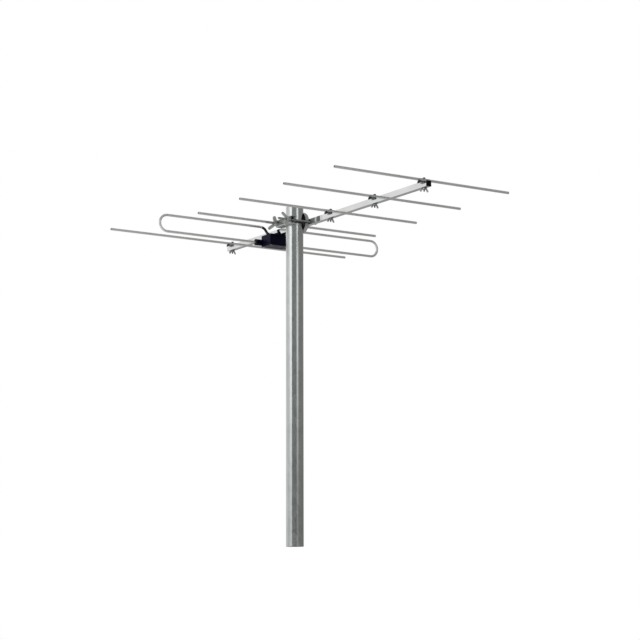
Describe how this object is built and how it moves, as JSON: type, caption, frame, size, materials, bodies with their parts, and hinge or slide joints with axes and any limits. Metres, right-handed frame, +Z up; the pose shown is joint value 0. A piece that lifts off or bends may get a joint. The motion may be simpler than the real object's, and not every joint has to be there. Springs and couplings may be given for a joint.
{
  "type": "vhf yagi antenna",
  "caption": "Directional aerial: straight rods and a folded dipole on a square boom, clamped beside a round steel mast that it can be turned on.",
  "frame": {"origin": "on the mast's axis at its foot", "axes": "+Z up along the mast, X along the elements, -Y towards the directors"},
  "size_m": [0.803, 1.006, 0.9365],
  "materials": {
    "galvanised_steel": "spangled zinc coat, dull shine",
    "bright_aluminium": "bright drawn tube, faint lines along it",
    "rod_aluminium": "drawn, slightly weathered",
    "pressed_steel": "pressed sheet, zinc coat",
    "zinc_steel": "zinc coat, matt",
    "dark_steel": "blackened and oiled, dull",
    "black_plastic": "moulded, fine satin grain",
    "rubber": "matt",
    "brass": "turned",
    "board": "lacquered fibreglass",
    "ferrite": "sintered, dull",
    "nickel_brass": "nickel plate"
  },
  "bodies": {
    "mast": {"mast_tube": "galvanised_steel"},
    "antenna": {"balun_board": "board", "balun_core": "ferrite", "board_screws": "zinc_steel", "boom": "bright_aluminium", "boom_front_cap": "black_plastic", "box_fixing_screws": "zinc_steel", "clamp_bolt_front": "zinc_steel", "clamp_bolt_rear": "zinc_steel", "clamp_dish_jaw": "pressed_steel", "clamp_outer_jaw": "pressed_steel", "clamp_washer_front": "zinc_steel", "clamp_washer_rear": "zinc_steel", "clamp_wing_nut_front": "zinc_steel", "clamp_wing_nut_rear": "zinc_steel", "coax_socket": "nickel_brass", "dipole_box_base": "black_plastic", "dipole_box_lid": "black_plastic", "director_1_rod": "rod_aluminium", "director_1_saddle": "pressed_steel", "director_1_screw": "dark_steel", "director_1_wing_nut": "zinc_steel", "director_2_rod": "rod_aluminium", "director_2_saddle": "pressed_steel", "director_2_screw": "dark_steel", "director_2_wing_nut": "zinc_steel", "director_3_rod": "rod_aluminium", "director_3_saddle": "pressed_steel", "director_3_screw": "dark_steel", "director_3_wing_nut": "zinc_steel", "director_4_rod": "rod_aluminium", "director_4_saddle": "pressed_steel", "director_4_screw": "dark_steel", "director_4_wing_nut": "zinc_steel", "feed_grommets": "rubber", "feed_terminals": "brass", "folded_dipole": "rod_aluminium", "jaw_rivets": "rod_aluminium", "lid_screws": "zinc_steel", "reflector_rod": "rod_aluminium", "reflector_saddle": "pressed_steel", "reflector_screw": "dark_steel", "reflector_wing_nut": "zinc_steel", "socket_nut": "nickel_brass"}
  },
  "joints": [
    {"name": "azimuth_swivel", "type": "hinge", "parent": "mast", "child": "antenna", "pos_m": [0, 0, 0.8955], "axis": [0, 0, 1], "continuous": true}
  ]
}
